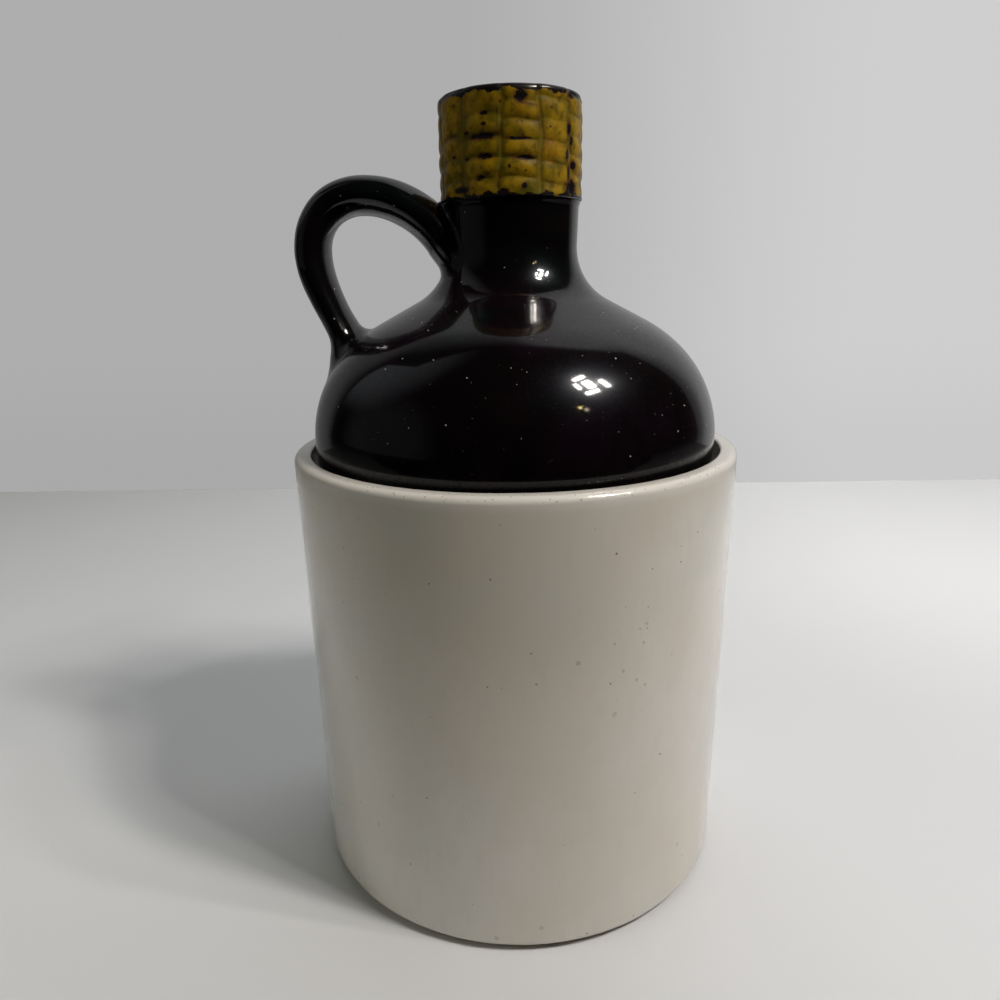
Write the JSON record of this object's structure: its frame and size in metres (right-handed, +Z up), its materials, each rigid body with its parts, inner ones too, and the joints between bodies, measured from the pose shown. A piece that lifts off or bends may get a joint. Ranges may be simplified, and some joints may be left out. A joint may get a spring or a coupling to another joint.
{
  "type": "stoneware crock jug",
  "caption": "Straight pale crock whose lid is a dark jug shoulder with neck and loop handle, stopped by a corncob plug.",
  "frame": {"origin": "on the crock's axis, in the plane of the foot ring that it stands on", "axes": "+Z up the axis from the foot to the stopper; the handle points along -X; the front faces -Y"},
  "size_m": [0.165, 0.165, 0.2824],
  "materials": {
    "white_glaze": "gloss off-white glaze, bare buff foot",
    "black_glaze": "high-gloss brown-black glaze",
    "corn_glaze": "worn mustard glaze over brown-black"
  },
  "bodies": {
    "crock": {"crock": "white_glaze"},
    "lid": {"lid": "black_glaze", "handle": "black_glaze"},
    "stopper": {"corncob_stopper": "corn_glaze"}
  },
  "joints": [
    {"name": "lid_lift", "type": "slide", "parent": "crock", "child": "lid", "axis": [0, 0, 1], "range_m": [0, 0.15]},
    {"name": "stopper_pull", "type": "slide", "parent": "lid", "child": "stopper", "axis": [0, 0, 1], "range_m": [0, 0.06]}
  ]
}
